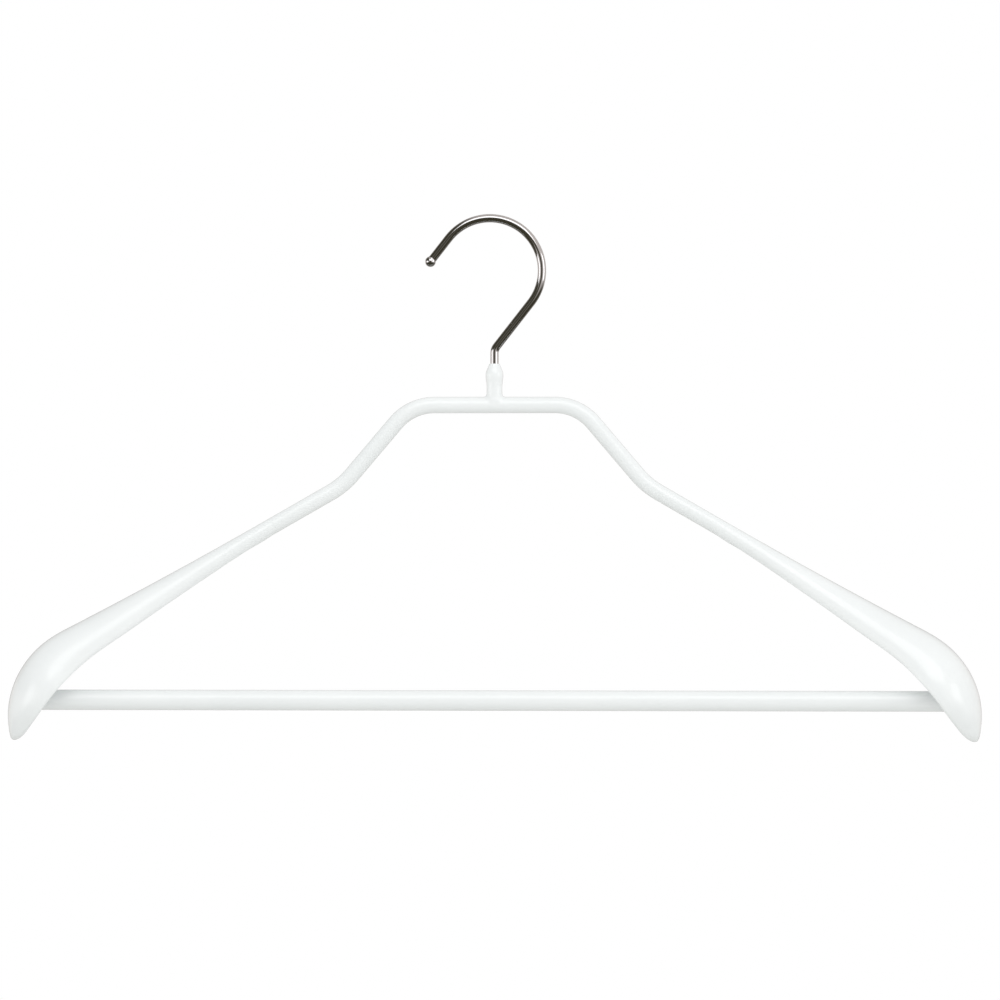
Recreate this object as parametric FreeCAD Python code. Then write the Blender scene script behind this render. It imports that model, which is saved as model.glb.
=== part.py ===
import FreeCAD, Part
import math
import os

# Body-shaped clothes hanger: a bent steel tube with a pressed shoulder shell on each
# end, a trouser bar welded between the shells, and a chromed wire hook that turns
# freely in a swaged neck sleeve. Everything but the hook is dip-coated.
#
# Millimetres. +Z is up, the front faces -Y. The origin is on the swivel axis at the
# height of the hook's inner crown, where a rail carries the hanger.

# Hook wire
WIRE_D = 3.6
HOOK_R = 22.8            # centreline radius of the crook
HOOK_ASIDE = -2.1        # crook centre, beside the swivel axis
HOOK_SLOPE = 52.0        # degrees, both straight runs above level
HOOK_TAIL = 12.8         # straight run that ends in the ball
BALL_D = 4.6
SHANK_BEND_R = 4.8
HEAD_D = 4.9             # upset head that keeps the wire in the sleeve
HEAD_H = 2.2

# Neck sleeve, radii of the bare steel
SLEEVE_TOP = -61.7
SLEEVE_TOP_R = 2.1
SLEEVE_BULGE_R = 3.4
SLEEVE_WAIST_R = 3.0
RUNNING_GAP = 0.06       # radial, wire in the swaged top
POCKET_R = 2.75
NECK_WELD_R = 4.9

# Frame tube
TUBE_D = 6.3
TUBE_WALL = 1.0
CROSSBAR_Z = -79.6
CROSSBAR_HALF = 36.5     # corner to corner, half
KNEE_X = 66.2            # lower bend of each side
KNEE_Z = -114.6
CORNER_R = 22.0
KNEE_R = 35.0
ROOT_X = 97.0            # tube end, where the shell begins

# Shoulder shell, measured along its crest from the tube end
SHEET = 1.0
SWEEP_ROOT = 0.08        # forward slope of the arm at the tube end
SWEEP_CURVE = 0.00067    # how fast that slope grows, per mm
ARM_SLOPE = 30.0         # degrees below level at the tube end
CREST_CAMBER = 2.5       # degrees the crest flattens before the shoulder bend
BEND_START = 101.0
BEND_R = 43.6
TIP_SLOPE = 99.0         # degrees below level at the tip
DROP_FULL_AT = 112.0     # where the crest stands highest above the lips
FULL_DROP = 15.4
DEPTH_FULL_AT = 124.0    # where the shell is widest, front to back
FULL_HALF_DEPTH = 18.1
ROOT_SPAN = 153.0        # degrees of arch each side of the crest at the tube end
FULL_SPAN = 98.0
TIP_SPAN = 60.0
CLOSING_POWER = 0.6      # how the lips rise to the crest at the tip, 0.5 is an ellipse
TIP_SINK = 2.3           # how far the crest dips at the tip
TIP_FLAT = 0.7           # the tip's small flat lies this far before the full point

# Trouser bar
BAR_D = 8.0
BAR_WALL = 1.0
BAR_Z = -207.6
BAR_HALF = 204.5
BAR_WELD_R = 6.2
BAR_WELD_RUN = 4.0

COAT = 0.4               # dipped coating on every face it reaches

# Worked out from the above
TUBE_R = TUBE_D / 2
ARCH_R = TUBE_R - SHEET / 2
BAR_R = BAR_D / 2
CREST_END_SLOPE = ARM_SLOPE - CREST_CAMBER
BEND_RUN = math.radians(TIP_SLOPE - CREST_END_SLOPE) * BEND_R
CREST_LENGTH = BEND_START + BEND_RUN
GROWING_STATIONS = 7
CLOSING_STATIONS = 6
ARCH_POINTS = 11

V = FreeCAD.Vector
X_AXIS = V(1, 0, 0)
Z_AXIS = V(0, 0, 1)


def bent_path(points, radii):
    """Straight runs through the points, with a tangent arc at each inner point."""
    edges = []
    start = points[0]
    for before, corner, after, radius in zip(points, points[1:], points[2:], radii):
        back = (before - corner).normalize()
        ahead = (after - corner).normalize()
        half_turn = (math.pi - back.getAngle(ahead)) / 2
        reach = radius * math.tan(half_turn)
        arc_start = corner + back * reach
        arc_end = corner + ahead * reach
        inward = (back + ahead).normalize()
        arc_middle = corner + inward * (radius / math.cos(half_turn) - radius)
        edges.append(Part.LineSegment(start, arc_start).toShape())
        edges.append(Part.Arc(arc_start, arc_middle, arc_end).toShape())
        start = arc_end
    edges.append(Part.LineSegment(start, points[-1]).toShape())
    return Part.Wire(edges)


def round_sweep(path, radius):
    """Solid rod of the radius along the path."""
    first = path.Edges[0]
    start = first.valueAt(first.FirstParameter)
    along = first.tangentAt(first.FirstParameter)
    ring = Part.Wire(Part.makeCircle(radius, start, along))
    return path.makePipeShell([ring], True, True)


def turned(outline):
    """Solid of revolution about the swivel axis from (radius, height) points."""
    corners = [V(radius, 0, height) for radius, height in outline]
    face = Part.Face(Part.makePolygon(corners + corners[:1]))
    return face.revolve(V(0, 0, 0), Z_AXIS, 360)


def rod_along_x(radius, x_from, x_to, y, z):
    return Part.makeCylinder(radius, x_to - x_from, V(x_from, y, z), X_AXIS)


def mirrored(shape):
    return shape.mirror(V(0, 0, 0), X_AXIS)


# ---------------------------------------------------------------- hook

def make_hook():
    """Chromed wire: head, shank, crook and ball, all formed from one length."""
    slope = math.radians(HOOK_SLOPE)
    centre = V(HOOK_ASIDE, 0, -(HOOK_R - WIRE_D / 2))
    crook_start = centre + V(math.sin(slope), 0, -math.cos(slope)) * HOOK_R
    crook_top = centre + V(0, 0, HOOK_R)
    crook_end = centre + V(-math.sin(slope), 0, math.cos(slope)) * HOOK_R
    ball_centre = crook_end - V(math.cos(slope), 0, math.sin(slope)) * HOOK_TAIL
    shank_corner = V(0, 0, crook_start.z - crook_start.x * math.tan(slope))
    head_top = V(0, 0, pocket_top() - 0.15)
    shank = bent_path([head_top, shank_corner, crook_start], [SHANK_BEND_R])
    crook = Part.Arc(crook_start, crook_top, crook_end).toShape()
    tail = Part.LineSegment(crook_end, ball_centre).toShape()
    wire = round_sweep(Part.Wire(shank.Edges + [crook, tail]), WIRE_D / 2)
    ball = Part.makeSphere(BALL_D / 2, ball_centre)
    head = Part.makeCylinder(HEAD_D / 2, HEAD_H, head_top - V(0, 0, HEAD_H))
    head = head.makeChamfer(0.4, head.Edges)
    return wire.fuse([ball, head]).removeSplitter()


# ---------------------------------------------------------------- neck

def pocket_top():
    return SLEEVE_TOP - 3.4


def neck_outline(grow):
    """Outer half-outline of the neck, grown by the coating where there is one."""
    return [
        (0, SLEEVE_TOP),
        (SLEEVE_TOP_R + grow * 0.6, SLEEVE_TOP),
        (SLEEVE_TOP_R + 0.45 + grow, SLEEVE_TOP - 1.7),
        (SLEEVE_BULGE_R + grow, SLEEVE_TOP - 3.9),
        (SLEEVE_BULGE_R + grow, SLEEVE_TOP - 6.0),
        (SLEEVE_WAIST_R + grow, SLEEVE_TOP - 9.0),
        (SLEEVE_WAIST_R + grow, CROSSBAR_Z + 1.6),
        (0, CROSSBAR_Z + 1.6),
    ]


def make_neck_sleeve():
    """Steel sleeve swaged in over the wire and saddled onto the crossbar."""
    bore = Part.makeCylinder(WIRE_D / 2 + RUNNING_GAP, 4.0, V(0, 0, pocket_top() - 0.2))
    pocket = Part.makeCylinder(POCKET_R, HEAD_H + 1.0, V(0, 0, pocket_top() - HEAD_H - 1.0))
    crossbar = rod_along_x(TUBE_R, -20, 20, 0, CROSSBAR_Z)
    return turned(neck_outline(0)).cut(bore.fuse(pocket)).cut(crossbar)


def weld_collar(grow):
    """Cone of weld round the neck's foot, kept close to the crossbar's sides."""
    foot = CROSSBAR_Z + 1.6
    cone = turned([
        (0, foot + 3.6),
        (SLEEVE_WAIST_R + grow, foot + 3.6),
        (SLEEVE_WAIST_R + grow + 0.4, foot + 2.6),
        (NECK_WELD_R + grow, foot + 1.2),
        (NECK_WELD_R + grow, foot),
        (0, foot),
    ])
    return cone.common(rod_along_x(TUBE_R + 1.0 + grow, -20, 20, 0, CROSSBAR_Z))


def make_neck_weld(sleeve_blank):
    crossbar = rod_along_x(TUBE_R, -20, 20, 0, CROSSBAR_Z)
    return weld_collar(0).cut(sleeve_blank).cut(crossbar)


def make_neck_coating(sleeve_blank):
    """Coating over sleeve and weld, ending on the crossbar's own coating."""
    wire_room = Part.makeCylinder(SLEEVE_TOP_R, 1.0, V(0, 0, SLEEVE_TOP - 0.5))
    skin = turned(neck_outline(COAT)).fuse(weld_collar(COAT))
    coated_crossbar = rod_along_x(TUBE_R + COAT, -20, 20, 0, CROSSBAR_Z)
    inside = sleeve_blank.fuse([weld_collar(0), wire_room])
    return skin.cut(inside).cut(coated_crossbar)


# ---------------------------------------------------------------- frame tube

def sweep_forward(x):
    """How far the arm lies in front of the neck, and its forward slope, at x."""
    past_root = max(x - ROOT_X, 0)
    at_root = SWEEP_ROOT * (ROOT_X - KNEE_X)
    forward = at_root + SWEEP_ROOT * past_root + SWEEP_CURVE * past_root ** 2
    return -forward, -(SWEEP_ROOT + 2 * SWEEP_CURVE * past_root)


def frame_path():
    """Shoulder to shoulder: arm, leg, crossbar, leg, arm."""
    fall = (ROOT_X - KNEE_X) * math.tan(math.radians(ARM_SLOPE))
    root = V(ROOT_X, sweep_forward(ROOT_X)[0], KNEE_Z - fall)
    right = [root, V(KNEE_X, 0, KNEE_Z), V(CROSSBAR_HALF, 0, CROSSBAR_Z)]
    left = [V(-point.x, point.y, point.z) for point in reversed(right)]
    return bent_path(right + left, [KNEE_R, CORNER_R, CORNER_R, KNEE_R])


def make_frame_tube(path):
    return round_sweep(path, TUBE_R).cut(round_sweep(path, TUBE_R - TUBE_WALL))


def make_frame_coating(path, sleeve_blank):
    skin = round_sweep(path, TUBE_R + COAT).cut(round_sweep(path, TUBE_R))
    return skin.cut(sleeve_blank.fuse(weld_collar(0)))


# ---------------------------------------------------------------- shoulder shells

def even_bend(x, z, slope, curvature, length):
    """Follow a run that starts at a slope below level and bends evenly."""
    end_slope = slope + curvature * length
    x_end = x + (math.sin(end_slope) - math.sin(slope)) / curvature
    z_end = z + (math.cos(end_slope) - math.cos(slope)) / curvature
    return x_end, z_end, end_slope


def crest_frame(distance):
    """Point of the sheet's crest at a distance from the tube end, with the directions
    along the crest, across it to the back, and outward."""
    slope = math.radians(ARM_SLOPE)
    fall = (ROOT_X - KNEE_X) * math.tan(slope)
    x = ROOT_X + ARCH_R * math.sin(slope)
    z = KNEE_Z - fall + ARCH_R * math.cos(slope)
    flattening = -math.radians(CREST_CAMBER) / BEND_START
    x, z, slope = even_bend(x, z, slope, flattening, min(distance, BEND_START))
    if distance > BEND_START:
        x, z, slope = even_bend(x, z, slope, 1 / BEND_R, distance - BEND_START)
    y, y_slope = sweep_forward(x)
    along = V(math.cos(slope), y_slope * math.cos(slope), -math.sin(slope)).normalize()
    across = V(-y_slope, 1, 0).normalize()
    return V(x, y, z), along, across, along.cross(across)


def arch_size(distance):
    """Half depth, rise, half span and sunken crest of the arch at a distance."""
    opened = min(distance / DROP_FULL_AT, 1)
    widened = min(distance / DEPTH_FULL_AT, 1)
    closed = max(distance - DROP_FULL_AT, 0) / (CREST_LENGTH - DROP_FULL_AT)
    narrowed = max(distance - DEPTH_FULL_AT, 0) / (CREST_LENGTH - DEPTH_FULL_AT)
    remaining = (1 - closed ** 2) ** CLOSING_POWER
    root_drop = ARCH_R * (1 - math.cos(math.radians(ROOT_SPAN)))
    drop = (root_drop + (FULL_DROP - root_drop) * opened ** 1.4) * remaining
    half_depth = ARCH_R + (FULL_HALF_DEPTH - ARCH_R) * widened ** 1.3
    half_depth = half_depth * math.sqrt(1 - narrowed ** 2.4)
    span = FULL_SPAN + (ROOT_SPAN - FULL_SPAN) * (1 - opened) ** 2
    span = math.radians(span - (FULL_SPAN - TIP_SPAN) * closed ** 2)
    rise = drop / (1 - math.cos(span))
    return half_depth, rise, span, TIP_SINK * (1 - remaining)


def arch_section(distance, half_wall):
    """Closed outline of the bent sheet: an elliptical arch with round lips."""
    crest, along, across, outward = crest_frame(distance)
    half_depth, rise, span, sink = arch_size(distance)

    def place(sideways, up):
        return crest + across * sideways + outward * (up - sink)

    def offset_point(angle, offset):
        run = math.hypot(rise * math.sin(angle), half_depth * math.cos(angle))
        sideways = half_depth * math.sin(angle) + offset * rise * math.sin(angle) / run
        up = rise * (math.cos(angle) - 1) + offset * half_depth * math.cos(angle) / run
        return place(sideways, up)

    def lip_end(angle):
        run = math.hypot(rise * math.sin(angle), half_depth * math.cos(angle))
        reach = math.copysign(half_wall, angle)
        sideways = half_depth * math.sin(angle) + reach * half_depth * math.cos(angle) / run
        up = rise * (math.cos(angle) - 1) - reach * rise * math.sin(angle) / run
        return place(sideways, up)

    spread = [2 * i / (ARCH_POINTS - 1) - 1 for i in range(ARCH_POINTS)]
    outer = [offset_point(span * part, half_wall) for part in spread]
    inner = [offset_point(-span * part, -half_wall) for part in spread]
    outer_curve = Part.BSplineCurve()
    outer_curve.interpolate(Points=outer, Parameters=spread)
    inner_curve = Part.BSplineCurve()
    inner_curve.interpolate(Points=inner, Parameters=spread)
    back_lip = Part.Arc(outer[-1], lip_end(span), inner[0])
    front_lip = Part.Arc(inner[-1], lip_end(-span), outer[0])
    curves = [outer_curve, back_lip, inner_curve, front_lip]
    return Part.Wire([curve.toShape() for curve in curves])


def station_distances(last):
    """Distances along the crest, closer together where the tip rounds off."""
    growing = [DROP_FULL_AT * i / GROWING_STATIONS for i in range(GROWING_STATIONS + 1)]
    closing_run = CREST_LENGTH - DROP_FULL_AT
    step = math.asin((last - DROP_FULL_AT) / closing_run) / CLOSING_STATIONS
    closing = [closing_run * math.sin(step * i) for i in range(1, CLOSING_STATIONS + 1)]
    return growing + [DROP_FULL_AT + run for run in closing]


def make_shell(half_wall, length):
    """Right-hand shoulder shell of the given half thickness and length of crest."""
    sections = [arch_section(distance, half_wall) for distance in station_distances(length)]
    return Part.makeLoft(sections, True, False)


# ---------------------------------------------------------------- trouser bar

def bar_y():
    return sweep_forward(BAR_HALF)[0]


def make_bar_weld(shell):
    """Right-hand weld that joins the bar's end to the inside of the shell."""
    start = BAR_HALF - BAR_WELD_RUN
    y = bar_y()
    cone = Part.makeCone(BAR_R + COAT, BAR_WELD_R, BAR_WELD_RUN, V(start, y, BAR_Z), X_AXIS)
    plug = rod_along_x(BAR_WELD_R, BAR_HALF, BAR_HALF + 8, y, BAR_Z)
    bar_blank = rod_along_x(BAR_R, 0, BAR_HALF, y, BAR_Z)
    pieces = cone.fuse(plug).cut(shell).cut(bar_blank).Solids
    return min(pieces, key=lambda solid: solid.CenterOfMass.x)


def make_trouser_bar():
    outer = rod_along_x(BAR_R, -BAR_HALF, BAR_HALF, bar_y(), BAR_Z)
    return outer.cut(rod_along_x(BAR_R - BAR_WALL, -BAR_HALF, BAR_HALF, bar_y(), BAR_Z))


def make_bar_coating():
    half = BAR_HALF - BAR_WELD_RUN
    outer = rod_along_x(BAR_R + COAT, -half, half, bar_y(), BAR_Z)
    return outer.cut(rod_along_x(BAR_R, -half, half, bar_y(), BAR_Z))


# ---------------------------------------------------------------- assembly

def make_nodes():
    path = frame_path()
    sleeve_blank = turned(neck_outline(0))
    shell = make_shell(SHEET / 2, CREST_LENGTH - TIP_FLAT - COAT)
    bar_weld = make_bar_weld(shell)
    coated_shell = make_shell(SHEET / 2 + COAT, CREST_LENGTH - TIP_FLAT)
    shell_coating = coated_shell.cut(shell).cut(bar_weld)
    return {
        "hook": make_hook(),
        "neck_sleeve": make_neck_sleeve(),
        "neck_weld": make_neck_weld(sleeve_blank),
        "neck_coating": make_neck_coating(sleeve_blank),
        "frame_tube": make_frame_tube(path),
        "frame_coating": make_frame_coating(path, sleeve_blank),
        "right_shoulder_shell": shell,
        "left_shoulder_shell": mirrored(shell),
        "right_shoulder_coating": shell_coating,
        "left_shoulder_coating": mirrored(shell_coating),
        "right_bar_weld": bar_weld,
        "left_bar_weld": mirrored(bar_weld),
        "trouser_bar": make_trouser_bar(),
        "bar_coating": make_bar_coating(),
    }


os.makedirs("parts", exist_ok=True)
for node, shape in make_nodes().items():
    shape.exportStep("parts/" + node + ".step")
    print(node, len(shape.Solids), "solid,", round(shape.Volume, 1), "mm3, valid", shape.isValid())
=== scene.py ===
import math

import bmesh
import bpy
import numpy as np
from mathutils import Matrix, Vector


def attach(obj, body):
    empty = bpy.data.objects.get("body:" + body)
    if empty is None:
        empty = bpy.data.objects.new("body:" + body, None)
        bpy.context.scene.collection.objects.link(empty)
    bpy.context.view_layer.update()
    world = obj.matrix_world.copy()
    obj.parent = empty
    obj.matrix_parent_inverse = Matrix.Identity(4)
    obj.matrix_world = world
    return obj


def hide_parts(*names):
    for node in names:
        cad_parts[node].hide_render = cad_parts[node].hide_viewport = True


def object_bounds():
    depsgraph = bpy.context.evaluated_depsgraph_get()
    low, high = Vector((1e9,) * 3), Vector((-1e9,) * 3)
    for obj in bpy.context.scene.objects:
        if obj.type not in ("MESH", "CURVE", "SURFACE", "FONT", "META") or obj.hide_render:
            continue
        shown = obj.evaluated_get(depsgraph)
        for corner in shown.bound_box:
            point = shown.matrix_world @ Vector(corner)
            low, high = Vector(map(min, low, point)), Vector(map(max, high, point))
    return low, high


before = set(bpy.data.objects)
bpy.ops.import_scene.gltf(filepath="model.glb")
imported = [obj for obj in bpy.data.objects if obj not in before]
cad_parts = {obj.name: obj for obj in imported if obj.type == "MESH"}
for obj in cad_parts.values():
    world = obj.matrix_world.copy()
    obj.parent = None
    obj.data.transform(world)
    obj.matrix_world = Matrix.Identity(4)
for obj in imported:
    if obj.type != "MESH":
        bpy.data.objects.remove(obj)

# The hanger in metres, as its maker puts it together: studio first, then the coated
# frame, neck and bar, the bare steel inside them, and the chromed hook.
cad_low, cad_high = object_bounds()
MM = 0.001


# ---------------------------------------------------------------- camera
# Level with the middle of the hanger and turned slightly to its right. The lens is long,
# so the arms hardly converge. The view is 436 mm wide at the plane of the neck.
VIEW_DISTANCE = 2.0
VIEW_WIDTH = 0.4358
VIEW_YAW = math.radians(2.5)
VIEW_CENTRE = (0.0024, 0, -0.121)
camera_data = bpy.data.cameras.new("camera")
camera_data.sensor_width = 36.0
camera_data.lens = camera_data.sensor_width * VIEW_DISTANCE / VIEW_WIDTH
camera = bpy.data.objects.new("camera", camera_data)
camera.location = (VIEW_CENTRE[0] + VIEW_DISTANCE * math.sin(VIEW_YAW),
                   -VIEW_DISTANCE * math.cos(VIEW_YAW), VIEW_CENTRE[2])
camera.rotation_euler = (math.radians(90), 0, VIEW_YAW)
bpy.context.collection.objects.link(camera)
bpy.context.scene.camera = camera


# ---------------------------------------------------------------- studio
# White surround for the eye and soft even light from all round for the matt surfaces.
# What shines sees a dark room instead: three soft boxes, a dim backdrop, a pale ceiling
# and two pale side walls, whose edges make the streaks along the chromed wire.
LIGHT_ABOVE = 0.84
LIGHT_BELOW = 0.66
DARK_ROOM = 0.055
DIM_BACKDROP = 0.30
PALE_CEILING = 0.62
PALE_WALL = 0.70
FLOOR_DROP = 0.27
FLOOR_RADIUS = 1.3


def linear(hex_colour):
    """Linear RGBA of an sRGB hex colour, by the sRGB curve on each channel."""
    channels = np.array([int(hex_colour[i:i + 2], 16) for i in (0, 2, 4)]) / 255
    low = channels / 12.92
    high = ((channels + 0.055) / 1.055) ** 2.4
    return (*np.where(channels <= 0.04045, low, high).tolist(), 1.0)


def add_node(tree, kind, settings=None, **links):
    """Adds a node, sets its properties, and fills its inputs by name (spaces as _):
    a socket is linked, anything else is a value."""
    node = tree.nodes.new(kind)
    for name, value in (settings or {}).items():
        setattr(node, name, value)
    for name, value in links.items():
        socket = node.inputs[name.replace("_", " ")]
        if isinstance(value, bpy.types.NodeSocket):
            tree.links.new(value, socket)
        else:
            socket.default_value = value
    return node


def new_material(name):
    """Empty node material, with its tree and its shader's output node."""
    material = bpy.data.materials.new(name)
    material.use_nodes = True
    material.node_tree.nodes.clear()
    return material, material.node_tree


world = bpy.data.worlds.new("studio")
bpy.context.scene.world = world
world.use_nodes = True
tree = world.node_tree
tree.nodes.clear()
light_path = add_node(tree, "ShaderNodeLightPath")
direction = add_node(tree, "ShaderNodeTexCoord").outputs["Generated"]
parts = add_node(tree, "ShaderNodeSeparateXYZ", Vector=direction)
even = add_node(tree, "ShaderNodeMapRange", Value=parts.outputs["Z"], From_Min=-1.0, From_Max=1.0,
                To_Min=LIGHT_BELOW, To_Max=LIGHT_ABOVE)


def fade(value, low, high, dark, bright):
    """World brightness that eases from dark at the low value of a direction's part to
    bright at the high value."""
    node = add_node(tree, "ShaderNodeMapRange", {"interpolation_type": "SMOOTHSTEP"}, Value=value,
                    From_Min=low, From_Max=high, To_Min=dark, To_Max=bright)
    return node.outputs["Result"]


def combine(operation, first, second):
    """Product or larger one of two brightnesses, as the operation says."""
    node = add_node(tree, "ShaderNodeMath", {"operation": operation})
    tree.links.new(first, node.inputs[0])
    tree.links.new(second, node.inputs[1])
    return node.outputs[0]


backdrop = fade(parts.outputs["Y"], 0.1, 0.7, 0.0, DIM_BACKDROP)
ceiling = combine("MULTIPLY", fade(parts.outputs["Z"], 0.12, 0.65, 0.0, PALE_CEILING),
                  fade(parts.outputs["X"], -0.6, -0.15, 0.0, 1.0))
right_wall = combine("MULTIPLY", fade(parts.outputs["X"], 0.1, 0.5, 0.0, PALE_WALL),
                     fade(parts.outputs["Z"], -0.35, -0.05, 0.0, 1.0))
height_squared = combine("MULTIPLY", parts.outputs["Z"], parts.outputs["Z"])
left_wall = combine("MULTIPLY", fade(parts.outputs["X"], -0.25, -0.6, 0.0, PALE_WALL),
                    fade(height_squared, 0.06, 0.02, 0.0, 1.0))
pale = combine("MAXIMUM", combine("MAXIMUM", backdrop, ceiling),
               combine("MAXIMUM", right_wall, left_wall))
room = add_node(tree, "ShaderNodeVectorMath", {"operation": "MULTIPLY_ADD"})
to_eye = add_node(tree, "ShaderNodeBackground", Color=(1, 1, 1, 1), Strength=1.0)
to_matt = add_node(tree, "ShaderNodeBackground", Color=linear("fcfdfd"), Strength=even.outputs["Result"])
tree.links.new(pale, room.inputs[0])
room.inputs[1].default_value = linear("f8eeea")[:3]
room.inputs[2].default_value = [DARK_ROOM * part for part in linear("fff4c8")[:3]]
to_shine = add_node(tree, "ShaderNodeBackground", Color=room.outputs[0], Strength=1.0)
light = add_node(tree, "ShaderNodeMixShader", Fac=light_path.outputs["Is Glossy Ray"])
tree.links.new(to_matt.outputs[0], light.inputs[1])
tree.links.new(to_shine.outputs[0], light.inputs[2])
whole = add_node(tree, "ShaderNodeMixShader", Fac=light_path.outputs["Is Camera Ray"])
tree.links.new(light.outputs[0], whole.inputs[1])
tree.links.new(to_eye.outputs[0], whole.inputs[2])
add_node(tree, "ShaderNodeOutputWorld", Surface=whole.outputs[0])
bpy.context.scene.view_settings.view_transform = "Standard"


def soft_box(name, place, target, width, height, power):
    """Rectangular area light at a place, turned to face a target."""
    data = bpy.data.lights.new(name, "AREA")
    data.shape = "RECTANGLE"
    data.size = width
    data.size_y = height
    data.energy = power
    light = bpy.data.objects.new(name, data)
    light.location = place
    facing = np.array(target) - np.array(place)
    light.rotation_euler = Vector(facing.tolist()).to_track_quat("-Z", "Y").to_euler()
    bpy.context.collection.objects.link(light)


soft_box("overhead_box", (0.15, -1.1, 0.85), (0, 0, -0.12), 1.5, 0.8, 5.6)
soft_box("right_box", (1.5, -0.8, 0.15), (0, 0, -0.12), 0.8, 0.8, 3.2)
soft_box("left_box", (-1.5, -0.7, 0.0), (0, 0, -0.12), 0.7, 0.8, 2.4)

floor_height = cad_low.z - FLOOR_DROP
floor_mesh = bpy.data.meshes.new("floor")
edge = np.linspace(0, 2 * math.pi, 128, endpoint=False)
rim = np.stack([np.cos(edge), np.sin(edge), np.zeros(128)], -1) * FLOOR_RADIUS
floor_mesh.from_pydata(rim + np.array([0, 0, floor_height]), [], [tuple(range(128))])
floor = bpy.data.objects.new("floor", floor_mesh)
bpy.context.collection.objects.link(floor)
floor_paint, tree = new_material("matt_floor_paint")
paint = add_node(tree, "ShaderNodeBsdfPrincipled", Base_Color=linear("f2f2f0"), Roughness=0.9)
# Seen from below the floor is clear, so that the hanger's underside can be looked at.
clear = add_node(tree, "ShaderNodeBsdfTransparent")
one_sided = add_node(tree, "ShaderNodeMixShader",
                     Fac=add_node(tree, "ShaderNodeNewGeometry").outputs["Backfacing"])
tree.links.new(paint.outputs[0], one_sided.inputs[1])
tree.links.new(clear.outputs[0], one_sided.inputs[2])
add_node(tree, "ShaderNodeOutputMaterial", Surface=one_sided.outputs[0])
floor_mesh.materials.append(floor_paint)
floor.visible_glossy = False


# ---------------------------------------------------------------- coated frame
# Steel tube bent to a crossbar, two legs and two arms. The whole frame is dipped in hot
# white vinyl, which sets as a smooth satin skin 0.4 mm thick.
TUBE_R = 3.15 * MM
COAT = 0.4 * MM
CROSSBAR_Z = -79.6 * MM
CROSSBAR_HALF = 36.5 * MM
KNEE_X = 66.2 * MM
KNEE_Z = -114.6 * MM
CORNER_R = 22.0 * MM
KNEE_R = 35.0 * MM
ROOT_X = 97.0 * MM
ROOT_Z = KNEE_Z - (ROOT_X - KNEE_X) * math.tan(math.radians(30))
SWEEP_ROOT = 0.08
SWEEP_CURVE = 0.00067 / MM
ROUND_COLUMNS = 72


def unit(vectors):
    """Rows of an array of vectors, each divided by its length."""
    return vectors / np.linalg.norm(vectors, axis=-1, keepdims=True)


def smooth_step(value):
    """0 below 0, 1 above 1, and 3 t squared less 2 t cubed between them."""
    t = np.clip(value, 0, 1)
    return t * t * (3 - 2 * t)


def sweep_forward(x):
    """How far forward the arm lies at x, and its slope: a parabola from the tube's end."""
    past = np.maximum(x - ROOT_X, 0)
    forward = SWEEP_ROOT * (ROOT_X - KNEE_X) + SWEEP_ROOT * past + SWEEP_CURVE * past ** 2
    return -forward, -(SWEEP_ROOT + 2 * SWEEP_CURVE * past)


def bent_line(corners, radii, step):
    """Points and directions along straight runs joined by tangent arcs. A run is a start
    plus parts of a difference; an arc is a centre plus a radius times a turning pair of
    directions, over the angle between its two runs."""
    corners = [np.array(corner, float) for corner in corners]
    places = []
    directions = []

    def run(start, end, last):
        count = max(2, round(np.linalg.norm(end - start) / step)) + last
        part = np.linspace(0, 1, count, endpoint=last)[:, None]
        places.append(start + (end - start) * part)
        directions.append(np.broadcast_to(unit(end - start), (count, 3)))

    start = corners[0]
    for before, corner, after, radius in zip(corners, corners[1:], corners[2:], radii):
        back = unit(before - corner)
        ahead = unit(after - corner)
        turn = math.pi - math.acos(back @ ahead)
        arc_start = corner + back * radius * math.tan(turn / 2)
        centre = corner + unit(back + ahead) * radius / math.cos(turn / 2)
        run(start, arc_start, False)
        outward = unit(arc_start - centre)
        angle = np.linspace(0, turn, max(6, round(turn * radius / step)), endpoint=False)[:, None]
        places.append(centre + radius * (outward * np.cos(angle) - back * np.sin(angle)))
        directions.append(-outward * np.sin(angle) - back * np.cos(angle))
        start = centre + radius * (outward * math.cos(turn) - back * math.sin(turn))
    run(start, corners[-1], True)
    return np.concatenate(places), unit(np.concatenate(directions))


def carried_round(places, directions, radii, columns):
    """Circles carried along a line: each place plus a radius times the cosine and sine of
    an angle along two directions square to the line, the first as near to +Y as can be."""
    toward_back = np.array([0.0, 1.0, 0.0])
    first = unit(toward_back - directions * (directions @ toward_back)[:, None])
    second = np.cross(directions, first)
    angle = np.linspace(0, 2 * math.pi, columns, endpoint=False)[None, :, None]
    ring = first[:, None] * np.cos(angle) + second[:, None] * np.sin(angle)
    return places[:, None] + ring * np.asarray(radii)[:, None, None]


def grid_faces(rows, columns, closed_rows=False, closed_columns=False):
    """Four corners of every cell of a grid whose points are numbered row by row."""
    row = np.arange(rows if closed_rows else rows - 1)[:, None]
    column = np.arange(columns if closed_columns else columns - 1)[None]
    next_row = (row + 1) % rows
    next_column = (column + 1) % columns
    cells = [row * columns + column, row * columns + next_column,
             next_row * columns + next_column, next_row * columns + column]
    return np.stack(cells, -1).reshape(-1, 4)


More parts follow.
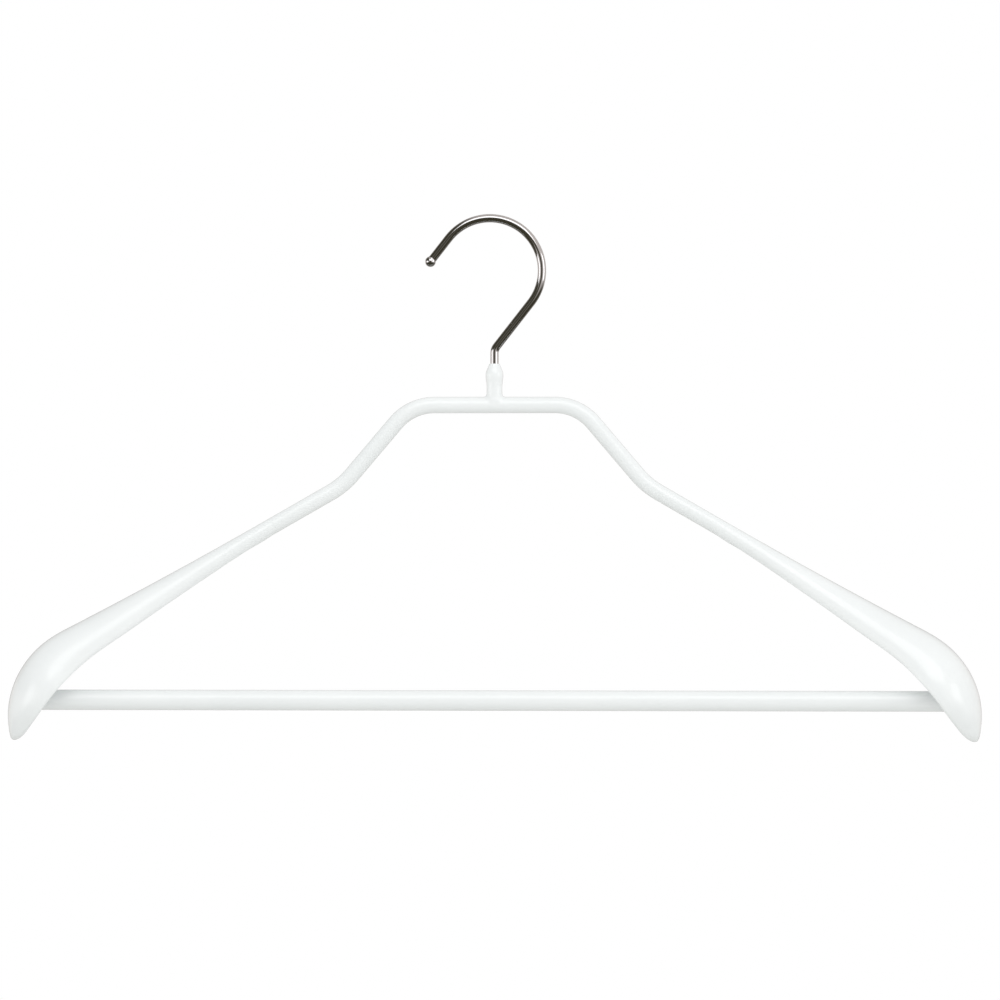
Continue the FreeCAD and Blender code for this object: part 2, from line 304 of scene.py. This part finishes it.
def make_piece(name, grids, body, material, nodes, uv=None):
    """Piece from grids of points, each with its faces. Points that coincide are merged,
    which closes seams and poles, and faces are turned outward."""
    points = np.concatenate([grid.reshape(-1, 3) for grid, faces in grids])
    firsts = np.cumsum([0] + [grid.size // 3 for grid, faces in grids[:-1]])
    corners = np.concatenate([faces + first for (grid, faces), first in zip(grids, firsts)])
    mesh = bpy.data.meshes.new(name)
    mesh.from_pydata(points, [], corners)
    if uv is not None:
        layer = mesh.uv_layers.new(name="wire")
        layer.uv.foreach_set("vector", uv.astype(np.float32).ravel())
    work = bmesh.new()
    work.from_mesh(mesh)
    bmesh.ops.remove_doubles(work, verts=work.verts, dist=0.0002 * MM)
    bmesh.ops.recalc_face_normals(work, faces=work.faces)
    work.to_mesh(mesh)
    work.free()
    mesh.polygons.foreach_set("use_smooth", np.ones(len(mesh.polygons), bool))
    mesh.set_sharp_from_angle(angle=math.radians(50))
    mesh.materials.append(material)
    piece = bpy.data.objects.new(name, mesh)
    bpy.context.collection.objects.link(piece)
    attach(piece, body)
    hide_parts(*nodes)
    return piece


def vinyl_dip():
    """White plastisol dip coating, cured in an oven: a dense white skin with a soft,
    slightly blurred shine. It flows before it sets, so its surface swims a little every
    few millimetres, its gloss is uneven, and its tone drifts very slightly."""
    material, tree = new_material("white_vinyl_dip")
    place = add_node(tree, "ShaderNodeTexCoord").outputs["Object"]
    drift = add_node(tree, "ShaderNodeTexNoise", Vector=place, Scale=1 / (45 * MM), Detail=2.0)
    tone = add_node(tree, "ShaderNodeMixRGB", Fac=drift.outputs["Fac"],
                    Color1=linear("ecefef"), Color2=linear("f3f5f5"))
    flow = add_node(tree, "ShaderNodeTexNoise", Vector=place, Scale=1 / (7 * MM), Detail=1.0)
    peel = add_node(tree, "ShaderNodeTexNoise", Vector=place, Scale=1 / (2.2 * MM), Detail=1.0)
    gloss = add_node(tree, "ShaderNodeMapRange", Value=flow.outputs["Fac"],
                     To_Min=0.15, To_Max=0.26)
    swim = add_node(tree, "ShaderNodeBump", Height=flow.outputs["Fac"],
                    Strength=0.5, Distance=0.06 * MM)
    skin = add_node(tree, "ShaderNodeBump", Height=peel.outputs["Fac"],
                    Normal=swim.outputs["Normal"], Strength=0.5, Distance=0.02 * MM)
    shader = add_node(tree, "ShaderNodeBsdfPrincipled", Base_Color=tone.outputs["Color"],
                      Roughness=gloss.outputs["Result"], IOR=1.53,
                      Normal=skin.outputs["Normal"])
    add_node(tree, "ShaderNodeOutputMaterial", Surface=shader.outputs[0])
    return material


white_vinyl = vinyl_dip()
root = (ROOT_X, float(sweep_forward(ROOT_X)[0]), ROOT_Z)
knee = (KNEE_X, 0, KNEE_Z)
corner = (CROSSBAR_HALF, 0, CROSSBAR_Z)
left_half = [(-x, y, z) for x, y, z in (root, knee, corner)]
places, directions = bent_line(left_half + [corner, knee, root],
                               [KNEE_R, CORNER_R, CORNER_R, KNEE_R], 1.0 * MM)
ends = np.concatenate([[0], np.full(len(places), TUBE_R + COAT), [0]])
places = np.concatenate([places[:1], places, places[-1:]])
directions = np.concatenate([directions[:1], directions, directions[-1:]])
tube_skin = carried_round(places, directions, ends, ROUND_COLUMNS)
faces = grid_faces(*tube_skin.shape[:2], closed_columns=True)
make_piece("frame_skin", [(tube_skin, faces)], "hanger", white_vinyl,
           ["frame_coating"])


# ---------------------------------------------------------------- shoulders
# Pressed sheet-steel shells, arched like half a pipe and hollow below, that open out of
# the tube and curl over at the tips. The same vinyl covers both faces and rounds the lips.
SHEET = 1.0 * MM
ARM_SLOPE = math.radians(30)
CREST_CAMBER = math.radians(2.5)
BEND_START = 101.0 * MM
BEND_R = 43.6 * MM
TIP_SLOPE = math.radians(99)
DROP_FULL_AT = 112.0 * MM
FULL_DROP = 15.4 * MM
DEPTH_FULL_AT = 124.0 * MM
FULL_HALF_DEPTH = 18.1 * MM
ROOT_SPAN = math.radians(153)
FULL_SPAN = math.radians(98)
TIP_SPAN = math.radians(60)
CLOSING_POWER = 0.6
TIP_SINK = 2.3 * MM
ARCH_R = TUBE_R - SHEET / 2
HALF_WALL = SHEET / 2 + COAT
TIP_FLAT = 0.7 * MM
TIP_DRIP = 0.35 * MM
DRIP_RUN = 7.0 * MM
CREST_LENGTH = BEND_START + (TIP_SLOPE - ARM_SLOPE + CREST_CAMBER) * BEND_R
# The vinyl bridges the slit below the arm for its first few millimetres.
SLIT_START = 4.0 * MM
SLIT_OPEN = 14.0 * MM
LIP_SPLIT = math.radians(110)
ARCH_COLUMNS = 81
LIP_COLUMNS = 7


def even_bend(x, z, slope, curvature, run):
    """End of a run that bends evenly from a slope below level: the integrals of the
    cosine and of minus the sine of a slope that grows in proportion to the run."""
    end = slope + curvature * run
    return (x + (np.sin(end) - np.sin(slope)) / curvature,
            z + (np.cos(end) - np.cos(slope)) / curvature, end)


def crest_frame(distance):
    """Crest of the sheet at distances from the tube's end: two even bends in the upright
    plane, swept forward, with directions along, across and outward."""
    x, z, slope = even_bend(ROOT_X + ARCH_R * math.sin(ARM_SLOPE),
                            ROOT_Z + ARCH_R * math.cos(ARM_SLOPE),
                            ARM_SLOPE, -CREST_CAMBER / BEND_START,
                            np.minimum(distance, BEND_START))
    x, z, slope = even_bend(x, z, slope, 1 / BEND_R, np.maximum(distance - BEND_START, 0))
    y, y_slope = sweep_forward(x)
    along = unit(np.stack([np.cos(slope), y_slope * np.cos(slope), -np.sin(slope)], -1))
    across = unit(np.stack([-y_slope, np.ones_like(x), np.zeros_like(x)], -1))
    return np.stack([x, y, z], -1), along, across, np.cross(along, across)


def arch_size(distance):
    """Half depth, rise, half span and sink of the arch: powers of the distance that open
    it out of the tube, then powers of one less a square that close it at the tip. The
    half span starts where the two lips touch."""
    opened = np.minimum(distance / DROP_FULL_AT, 1)
    widened = np.minimum(distance / DEPTH_FULL_AT, 1)
    closed = np.maximum(distance - DROP_FULL_AT, 0) / (CREST_LENGTH - DROP_FULL_AT)
    narrowed = np.maximum(distance - DEPTH_FULL_AT, 0) / (CREST_LENGTH - DEPTH_FULL_AT)
    remaining = np.maximum(1 - closed ** 2, 0) ** CLOSING_POWER
    root_drop = ARCH_R * (1 - math.cos(ROOT_SPAN))
    drop = (root_drop + (FULL_DROP - root_drop) * opened ** 1.4) * remaining
    half_depth = ARCH_R + (FULL_HALF_DEPTH - ARCH_R) * widened ** 1.3
    half_depth = half_depth * np.sqrt(np.maximum(1 - narrowed ** 2.4, 0))
    span = FULL_SPAN + (ROOT_SPAN - FULL_SPAN) * (1 - opened) ** 2
    span = span - (FULL_SPAN - TIP_SPAN) * closed ** 2
    rise = drop / (1 - np.cos(span))
    return half_depth, rise, span, TIP_SINK * (1 - remaining)


def smooth_through(knots, values, at):
    """Natural cubic spline through rows of values: second derivatives that keep the slope
    continuous at every knot, from one set of linear equations, then a cubic per interval."""
    gap = np.diff(knots)[:, None]
    slope = np.diff(values, axis=0) / gap
    count = len(knots)
    system = np.eye(count)
    inner = np.arange(1, count - 1)
    system[inner, inner - 1] = gap[:-1, 0]
    system[inner, inner] = 2 * (gap[:-1, 0] + gap[1:, 0])
    system[inner, inner + 1] = gap[1:, 0]
    known = np.zeros_like(values)
    known[1:-1] = 6 * np.diff(slope, axis=0)
    bend = np.linalg.solve(system, known)
    i = np.clip(np.searchsorted(knots, at) - 1, 0, count - 2)
    width = gap[i]
    left = (knots[i + 1] - at)[:, None] / width
    right = (at - knots[i])[:, None] / width
    return (left * values[i] + right * values[i + 1]
            + ((left ** 3 - left) * bend[i] + (right ** 3 - right) * bend[i + 1]) * width ** 2 / 6)


def pressed_arch():
    """Crest, across, outward, half depth, rise, half span, sink and distance of the arch
    in even steps along the shell. The press tool is smooth: a spline through 14 sections
    and the tip's full point, carried past that point by its mirror image so that the tip
    comes out round. The half span starts where the lips touch."""
    growing = np.linspace(0, DROP_FULL_AT, 8)
    closing_run = CREST_LENGTH - DROP_FULL_AT
    last = math.asin(1 - TIP_FLAT / closing_run)
    turns = np.concatenate([np.linspace(0, last, 7)[1:], [math.pi / 2]])
    distance = np.concatenate([growing, DROP_FULL_AT + closing_run * np.sin(turns)])
    crest, along, across, outward = crest_frame(distance)
    half_depth, rise, span, sink = arch_size(distance)
    table = np.column_stack([crest, across, outward, half_depth, rise, span, sink, distance])
    corners = np.stack([crest + across * (half_depth * np.sin(span) * side)[:, None]
                        + outward * (rise * (np.cos(span * side) - 1) - sink)[:, None]
                        for side in (-1, 0, 1)])
    steps = np.linalg.norm(np.diff(corners, axis=1), axis=-1).mean(0)
    knots = np.concatenate([[0], np.cumsum(steps)])
    turned = np.array([1.0] * 9 + [-1, -1, 1, -1, 1])
    beyond = table[-1] + (table[-4:-1][::-1] - table[-1]) * turned
    table = np.concatenate([table, beyond])
    reach = knots[-1]
    knots = np.concatenate([knots, 2 * reach - knots[-4:-1][::-1]])
    at = np.concatenate([np.linspace(0, 16 * MM, 17), np.linspace(16 * MM, reach, 170)[1:]])
    rows = smooth_through(knots, table, at)
    half_depth, rise, span, sink, distance = rows[:, 9:].T
    half_depth[-1] = rise[-1] = 0
    touching = math.pi - np.arcsin(HALF_WALL / np.maximum(half_depth, 2 * HALF_WALL))
    opening = smooth_step((distance - SLIT_START) / (SLIT_OPEN - SLIT_START))
    span = touching + (span - touching) * opening
    return rows[:, :3], unit(rows[:, 3:6]), unit(rows[:, 6:9]), half_depth, rise, span, sink, distance


def shoulder_surfaces():
    """Right shoulder's outside and inside. The sheet's middle is an elliptical arch
    carried along the shell; both faces lie half a wall out along its normals, and half
    circles join them round each lip. Before the slit starts, the outside is the whole
    ellipse, and the groove between the lips deepens smoothly out of it."""
    *shapes, distance = pressed_arch()
    crest, across, outward, half_depth, rise, span, sink = (shape[:, None] for shape in shapes)
    along = np.cross(across, outward)
    turn = np.linspace(0, LIP_SPLIT, LIP_COLUMNS + 1)[1:]
    beyond_span = (math.pi - span) * turn[None] / LIP_SPLIT
    angle = np.concatenate([-(span + beyond_span)[:, ::-1],
                            span * np.linspace(-1, 1, ARCH_COLUMNS)[None],
                            span + beyond_span], axis=1)
    middle = (crest + across * (half_depth * np.sin(angle))[..., None]
              + outward * (rise * (np.cos(angle) - 1) - sink)[..., None])
    normal = np.cross(np.gradient(middle, axis=0), np.gradient(middle, axis=1))
    normal[0] = (across * np.sin(angle)[..., None] + outward * np.cos(angle)[..., None])[0]
    normal[-1] = along[-1]
    normal = unit(normal)
    # The last drip of vinyl hangs on the tip and sets there as a thicker nose.
    dripped = smooth_step((distance - CREST_LENGTH) / DRIP_RUN + 1)
    wall = (HALF_WALL + TIP_DRIP * dripped)[:, None, None]
    whole = middle + normal * wall

    def lip(column, side, turns):
        edge = middle[:, column]
        face = normal[:, column]
        beyond = np.cross(face, np.gradient(edge, axis=0)) * side
        beyond[-1] = -outward[-1, 0]
        beyond = unit(beyond)[:, None]
        return edge[:, None] + wall * (face[:, None] * np.cos(turns)[None, :, None]
                                       + beyond * np.sin(turns)[None, :, None])

    back = LIP_COLUMNS
    front = LIP_COLUMNS + ARCH_COLUMNS - 1
    depth = smooth_step(distance / SLIT_START)[:, None, None]
    outside = whole.copy()
    outside[:, front + 1:] += (lip(front, 1, turn) - whole[:, front + 1:]) * depth
    outside[:, :back] += (lip(back, -1, turn)[:, ::-1] - whole[:, :back]) * depth
    bridged = distance <= SLIT_START
    outside[bridged, 0] = (outside[bridged, 0] + outside[bridged, -1]) / 2
    outside[bridged, -1] = outside[bridged, 0]
    rest = np.linspace(LIP_SPLIT, math.pi, LIP_COLUMNS + 1)[1:-1]
    under = (middle - normal * wall)[:, back:front + 1]
    inside = np.concatenate([outside[:, -1:], lip(front, 1, rest), under[:, ::-1],
                             lip(back, -1, rest)[:, ::-1], outside[:, :1]], axis=1)
    inside = inside[np.count_nonzero(bridged) - 1:]
    return outside, inside


def with_end(grid, row):
    """Grid with one more row at an end, all of it at that end's mean point."""
    point = np.broadcast_to(grid[row].mean(0), (1, *grid.shape[1:]))
    return np.concatenate([point, grid] if row == 0 else [grid, point])


outside, inside = (with_end(grid, 0) for grid in shoulder_surfaces())
for side, sign in (("right", 1), ("left", -1)):
    mirror = np.array([sign, 1, 1])
    make_piece(side + "_shoulder_skin",
               [(outside * mirror, grid_faces(*outside.shape[:2])),
                (inside * mirror, grid_faces(*inside.shape[:2]))],
               "hanger", white_vinyl, [side + "_shoulder_coating"])


# ---------------------------------------------------------------- neck
# Sleeve swaged over the wire's head and welded to the crossbar. The vinyl covers both,
# thins over the mouth and fills the corner at the foot with a small soft fillet.
SLEEVE_TOP = -61.7 * MM
NECK_HEIGHTS = np.array([0.10, -0.15, -0.70, -1.7, -2.8, -3.8, -4.9, -6.2, -7.8, -9.6, -11.5]) * MM
NECK_RADII = np.array([2.14, 2.36, 2.56, 2.98, 3.45, 3.74, 3.85, 3.78, 3.58, 3.42, 3.40]) * MM
NECK_R = 3.4 * MM
FILLET = 1.7 * MM
FILLET_TOP = -73.6 * MM
FOOT_CENTRE = np.array([0, 0, -76.6 * MM])
TAPER_START = -77.2 * MM
TAPER = 1.6
FOOT_REACH = 6.5 * MM
FOOT_WRAP = math.radians(115)
SKIN = 0.45 * MM


def smooth_curve(knots, values, at):
    """Cubic through values at knots, its slopes from central differences (Hermite form)."""
    slopes = np.gradient(values, knots)
    i = np.clip(np.searchsorted(knots, at) - 1, 0, len(knots) - 2)
    width = knots[i + 1] - knots[i]
    t = (at - knots[i]) / width
    return ((2 * t ** 3 - 3 * t ** 2 + 1) * values[i] + (t ** 3 - 2 * t ** 2 + t) * width * slopes[i]
            + (3 * t ** 2 - 2 * t ** 3) * values[i + 1] + (t ** 3 - t ** 2) * width * slopes[i + 1])


def joint_depth(points):
    """How far points lie outside the coated joint: distances to the neck, round and
    tapering out inside the crossbar, and to the crossbar, blended by a quadratic over
    the fillet's width."""
    x, y, z = points[..., 0], points[..., 1], points[..., 2]
    below = np.maximum(TAPER_START - z, 0) * TAPER
    to_neck = np.sqrt(x ** 2 + y ** 2 + below ** 2) - NECK_R
    to_bar = np.hypot(y, z - CROSSBAR_Z) - (TUBE_R + COAT)
    near = np.maximum(FILLET - np.abs(to_neck - to_bar), 0) / FILLET
    return np.minimum(to_neck, to_bar) - near ** 2 * FILLET / 4


around = np.linspace(0, 2 * math.pi, ROUND_COLUMNS, endpoint=False)
circle = np.stack([np.cos(around), np.sin(around), np.zeros_like(around)], -1)
heights = np.linspace(SLEEVE_TOP + NECK_HEIGHTS[0], FILLET_TOP, 60)
measured = np.maximum(heights, SLEEVE_TOP + NECK_HEIGHTS[-1])
radii = smooth_curve(-NECK_HEIGHTS, NECK_RADII, SLEEVE_TOP - measured)
neck_rows = circle[None] * radii[:, None, None] + np.array([0, 0, 1]) * heights[:, None, None]
# The foot ends on the crossbar: to 6.5 mm each way along it, and 115 degrees round it.
wrap = FOOT_WRAP * np.sin(around)
foot = np.stack([FOOT_REACH * np.cos(around), (TUBE_R + COAT) * np.sin(wrap),
                 CROSSBAR_Z + (TUBE_R + COAT) * np.cos(wrap)], -1)
part = np.linspace(0, 1, 31)[1:, None, None]
rays = unit((neck_rows[-1] - FOOT_CENTRE) * (1 - part) + (foot - FOOT_CENTRE) * part)
near_end = np.zeros(rays.shape[:2])
far_end = np.full(rays.shape[:2], 12 * MM)
for halving in range(30):
    half_way = (near_end + far_end) / 2
    out = joint_depth(FOOT_CENTRE + rays * half_way[..., None]) > 0
    far_end = np.where(out, half_way, far_end)
    near_end = np.where(out, near_end, half_way)
reach = near_end[..., None] + np.linspace(0.02, -0.03, 30)[:, None, None] * MM
foot_rows = FOOT_CENTRE + rays * reach
lip_row = circle[None] * 1.98 * MM + np.array([0, 0, SLEEVE_TOP + 0.06 * MM])
neck_outside = np.concatenate([lip_row, neck_rows, foot_rows])
thinner = 1 - SKIN / np.maximum(radii, NECK_R)
narrowing = np.stack([thinner, thinner, np.ones_like(thinner)], -1)[:, None]
neck_inside = np.concatenate([neck_rows * narrowing, FOOT_CENTRE + rays * (reach - SKIN)])[::-1]
neck_skin = np.concatenate([neck_outside, neck_inside])
make_piece("neck_skin",
           [(neck_skin, grid_faces(*neck_skin.shape[:2], closed_rows=True, closed_columns=True))],
           "hanger", white_vinyl, ["neck_coating", "neck_weld"])


# ---------------------------------------------------------------- trouser bar
# Straight steel tube across the shoulders' tips, held inside them by a weld at each end.
# Bar and welds are dipped with the frame, so each weld is a soft white collar.
BAR_R = 4.0 * MM
BAR_Z = -207.6 * MM
BAR_HALF = 204.5 * MM
BAR_Y = float(sweep_forward(BAR_HALF)[0])
COLLAR_RISE = 1.9 * MM
COLLAR_RUN = 3.6 * MM
COLLAR_SINK = 0.3 * MM
COLLAR_FLARE = 0.3 * MM
COLLAR_DEPTH = 1.0 * MM
BAR_ROWS = 180

along_bar = np.linspace(-BAR_HALF, BAR_HALF, BAR_ROWS)
places = np.stack([along_bar, np.full(BAR_ROWS, BAR_Y), np.full(BAR_ROWS, BAR_Z)], -1)
places = np.concatenate([places[:1], places, places[-1:]])
bar_skin = carried_round(places, np.broadcast_to([1.0, 0, 0], places.shape),
                         np.concatenate([[0], np.full(BAR_ROWS, BAR_R + COAT), [0]]), ROUND_COLUMNS)
make_piece("bar_skin", [(bar_skin, grid_faces(*bar_skin.shape[:2], closed_columns=True))],
           "hanger", white_vinyl, ["bar_coating"])


def wall_x(y, z):
    """x of the right shoulder's inner face at points in y and z: the mean of the nearest
    grid points, each weighted by one over its squared distance."""
    wall = inside[-100:].reshape(-1, 3)
    wall = wall[wall[:, 0] > BAR_HALF - 12 * MM]
    away = np.hypot(wall[None, :, 1] - y[:, None], wall[None, :, 2] - z[:, None])
    nearest = np.argpartition(away, 6, axis=1)[:, :6]
    weight = 1 / (np.take_along_axis(away, nearest, 1) ** 2 + 1e-12)
    return (wall[nearest, 0] * weight).sum(1) / weight.sum(1)


# Collar's half-outline: a quarter of an ellipse from the bar to the wall, into the wall,
# then back along the steel.
quarter = np.linspace(0, math.pi / 2, 14)
rim_r = BAR_R + COAT + COLLAR_RISE
rim_wall = wall_x(BAR_Y + rim_r * np.cos(around), BAR_Z + rim_r * np.sin(around))
out_from_bar = np.concatenate([COLLAR_RISE * (1 - np.cos(quarter)), [COLLAR_RISE + COLLAR_FLARE],
                               [-COAT], [-COAT]]) + BAR_R + COAT
from_wall = np.concatenate([COLLAR_RUN * (np.sin(quarter) - 1) + COLLAR_SINK, [COLLAR_DEPTH],
                            [COLLAR_DEPTH], [-COLLAR_RUN]])
collar = np.stack([rim_wall[None] + from_wall[:, None],
                   BAR_Y + out_from_bar[:, None] * np.cos(around)[None],
                   BAR_Z + out_from_bar[:, None] * np.sin(around)[None]], -1)
for side, sign in (("right", 1), ("left", -1)):
    make_piece(side + "_bar_collar",
               [(collar * np.array([sign, 1, 1]),
                 grid_faces(*collar.shape[:2], closed_rows=True, closed_columns=True))],
               "hanger", white_vinyl, [side + "_bar_weld"])


# ---------------------------------------------------------------- steel inside
# Bare mild steel under the vinyl: drawn tube, a turned sleeve and pressed sheet. It shows
# only in the gap round the wire.
def mild_steel(name, hex_bright, hex_dull, stretch, roughness):
    """Uncoated mild steel as it leaves the mill: grey, half matt, with faint streaks
    along the way it was drawn or rolled."""
    material, tree = new_material(name)
    place = add_node(tree, "ShaderNodeTexCoord").outputs["Object"]
    drawn = add_node(tree, "ShaderNodeMapping", Vector=place, Scale=stretch)
    streak = add_node(tree, "ShaderNodeTexNoise", Vector=drawn.outputs["Vector"],
                      Scale=1 / (1.5 * MM), Detail=3.0)
    tone = add_node(tree, "ShaderNodeMixRGB", Fac=streak.outputs["Fac"],
                    Color1=linear(hex_bright), Color2=linear(hex_dull))
    finish = add_node(tree, "ShaderNodeMapRange", Value=streak.outputs["Fac"],
                      To_Min=roughness - 0.06, To_Max=roughness + 0.06)
    shader = add_node(tree, "ShaderNodeBsdfPrincipled", Base_Color=tone.outputs["Color"],
                      Metallic=1.0, Roughness=finish.outputs["Result"])
    add_node(tree, "ShaderNodeOutputMaterial", Surface=shader.outputs[0])
    return material


drawn_steel = mild_steel("drawn_mild_steel", "b4b1ad", "8f8c89", (0.08, 1, 1), 0.36)
turned_steel = mild_steel("turned_mild_steel", "bab8b4", "989692", (1, 1, 6), 0.30)
pressed_steel = mild_steel("pressed_sheet_steel", "a9a7a3", "878582", (0.3, 1, 1), 0.42)
for node, steel in (("frame_tube", drawn_steel), ("trouser_bar", drawn_steel),
                    ("neck_sleeve", turned_steel), ("right_shoulder_shell", pressed_steel),
                    ("left_shoulder_shell", pressed_steel)):
    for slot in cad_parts[node].material_slots:
        slot.material = steel


# ---------------------------------------------------------------- hook
# One length of drawn steel wire, bent to a crook, with a rolled ball at its end and a
# head that turns inside the neck. It is polished and chromium plated before assembly.
WIRE_R = 1.8 * MM
HOOK_R = 22.8 * MM
HOOK_ASIDE = -2.1 * MM
HOOK_SLOPE = math.radians(52)
HOOK_TAIL = 12.8 * MM
BALL_R = 2.3 * MM
SHANK_BEND_R = 4.8 * MM
HEAD_TOP = SLEEVE_TOP - 3.55 * MM
BALL_BLEND = 0.25 * MM
WIRE_COLUMNS = 64


def bright_chrome():
    """Bright decorative chromium over nickel on drawn wire: a near mirror, very slightly
    blue. The polish leaves fine lines along the wire and a soft waviness, which break
    each reflection into soft-edged streaks."""
    material, tree = new_material("bright_chrome_plate")
    wire = add_node(tree, "ShaderNodeUVMap", {"uv_map": "wire"}).outputs["UV"]
    # Real polishing lines are near 0.02 mm apart; here 0.25 mm, so that they can show.
    fine = add_node(tree, "ShaderNodeMapping", Vector=wire, Scale=(1 / (12 * MM), 1 / (0.25 * MM), 1))
    lines = add_node(tree, "ShaderNodeTexNoise", Vector=fine.outputs["Vector"], Scale=1.0, Detail=3.0)
    slow = add_node(tree, "ShaderNodeMapping", Vector=wire, Scale=(1 / (9 * MM), 1 / (5 * MM), 1))
    waves = add_node(tree, "ShaderNodeTexNoise", Vector=slow.outputs["Vector"], Scale=1.0, Detail=1.0)
    blur = add_node(tree, "ShaderNodeMapRange", Value=lines.outputs["Fac"], To_Min=0.05, To_Max=0.13)
    tone = add_node(tree, "ShaderNodeMixRGB", Fac=lines.outputs["Fac"],
                    Color1=linear("dcdee1"), Color2=linear("c9c9cb"))
    wavy = add_node(tree, "ShaderNodeBump", Height=waves.outputs["Fac"], Strength=0.4, Distance=0.05 * MM)
    lined = add_node(tree, "ShaderNodeBump", Height=lines.outputs["Fac"], Normal=wavy.outputs["Normal"],
                     Strength=0.25, Distance=0.004 * MM)
    shader = add_node(tree, "ShaderNodeBsdfPrincipled", Base_Color=tone.outputs["Color"], Metallic=1.0,
                      Roughness=blur.outputs["Result"], Normal=lined.outputs["Normal"])
    add_node(tree, "ShaderNodeOutputMaterial", Surface=shader.outputs[0])
    return material


def hook_line():
    """Centre line from the head's foot to the ball: shank, bend, rising run, crook as one
    arc of a circle, and straight tail."""
    centre = np.array([HOOK_ASIDE, 0, -(HOOK_R - WIRE_R)])
    aside = np.array([math.sin(HOOK_SLOPE), 0, -math.cos(HOOK_SLOPE)])
    crook_start = centre + HOOK_R * aside
    shank_corner = (0, 0, crook_start[2] - crook_start[0] * math.tan(HOOK_SLOPE))
    shank, shank_way = bent_line([(0, 0, HEAD_TOP), shank_corner, crook_start],
                                 [SHANK_BEND_R], 0.35 * MM)
    turn = np.linspace(0, math.pi, 180)[1:, None]
    rising = np.array([math.cos(HOOK_SLOPE), 0, math.sin(HOOK_SLOPE)])
    crook = centre + HOOK_R * (aside * np.cos(turn) + rising * np.sin(turn))
    crook_way = rising * np.cos(turn) - aside * np.sin(turn)
    part = np.linspace(0, 1, 24)[1:, None]
    before_ball = HOOK_TAIL - BALL_R
    tail = crook[-1] - rising * before_ball * part
    ball_turn = np.linspace(0, math.pi, 40)[1:, None]
    ball = tail[-1] - rising * BALL_R * (1 - np.cos(ball_turn))
    straight = np.broadcast_to(-rising, (len(tail) + len(ball), 3))
    return (np.concatenate([shank, crook, tail, ball]),
            np.concatenate([shank_way, crook_way, straight]))


places, directions = hook_line()
run = np.concatenate([[0], np.cumsum(np.linalg.norm(np.diff(places, axis=0), axis=1))])
# Radius along the wire: the wire's own, or the ball's circle where that is larger, the
# two blended where they meet.
from_ball = np.clip(run - (run[-1] - BALL_R), -BALL_R, BALL_R)
ball_radius = np.sqrt(np.maximum(BALL_R ** 2 - from_ball ** 2, 0))
wire_radius = np.where(from_ball < 0, WIRE_R, 0)
near = np.maximum(BALL_BLEND - np.abs(wire_radius - ball_radius), 0) / BALL_BLEND
radii = np.maximum(wire_radius, ball_radius) + near ** 2 * BALL_BLEND / 4 * (from_ball < 0)
head_radii = np.array([0, 2.05, 2.37, 2.45, 2.45, 2.37, 2.05, 1.8]) * MM
head_drops = np.array([2.2, 2.2, 2.06, 1.8, 0.4, 0.14, 0.0, 0.0]) * MM
head_places = np.array([0, 0, HEAD_TOP]) - np.array([0, 0, 1]) * head_drops[:, None]
places = np.concatenate([head_places, places[1:]])
directions = np.concatenate([np.broadcast_to([0, 0, 1.0], head_places.shape), directions[1:]])
radii = np.concatenate([head_radii, radii[1:]])
run = np.concatenate([-head_drops, run[1:]])
hook_skin = carried_round(places, directions, radii, WIRE_COLUMNS)
faces = grid_faces(*hook_skin.shape[:2], closed_columns=True)
row, column = np.divmod(np.arange(len(faces)), WIRE_COLUMNS)
girth = 2 * math.pi * WIRE_R / WIRE_COLUMNS
around_wire = [column * girth, (column + 1) * girth, (column + 1) * girth, column * girth]
uv = np.stack([np.stack([run[step], turn], -1)
               for step, turn in zip((row, row, row + 1, row + 1), around_wire)], 1)
make_piece("chromed_hook", [(hook_skin, faces)], "hook", bright_chrome(), ["hook"], uv)
